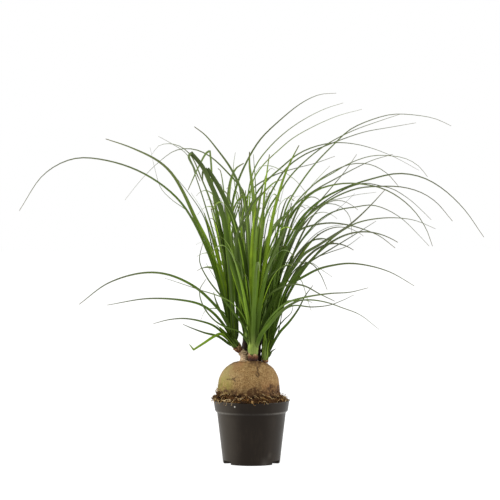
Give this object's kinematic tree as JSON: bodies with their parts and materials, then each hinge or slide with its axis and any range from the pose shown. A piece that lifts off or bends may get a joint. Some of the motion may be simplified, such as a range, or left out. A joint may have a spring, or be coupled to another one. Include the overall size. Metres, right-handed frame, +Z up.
{
  "type": "potted ponytail palm",
  "caption": "House plant in a plastic nursery pot: a swollen corky base in soil with heads of long, thin arching leaves.",
  "frame": {"origin": "centre of the pot's flat underside, on the surface that it stands on", "axes": "+Z up along the pot's axis, X from left to right and Y away from the viewer of the front"},
  "size_m": [0.7074, 0.4743, 0.5831],
  "materials": {
    "pot": "satin",
    "soil": "matte",
    "caudex": "matte",
    "dry_shoot": "matte",
    "collar": "matte",
    "leaves_left": "satin",
    "leaves_back": "satin",
    "leaves_centre": "satin",
    "leaves_right": "satin"
  },
  "bodies": {
    "root": {"pot": "pot", "soil": "soil", "caudex": "caudex", "dry_shoot": "dry_shoot", "collar_left": "collar", "collar_back": "collar", "collar_centre": "collar", "collar_right": "collar", "leaves_left": "leaves_left", "leaves_back": "leaves_back", "leaves_centre": "leaves_centre", "leaves_right": "leaves_right"}
  },
  "joints": []
}
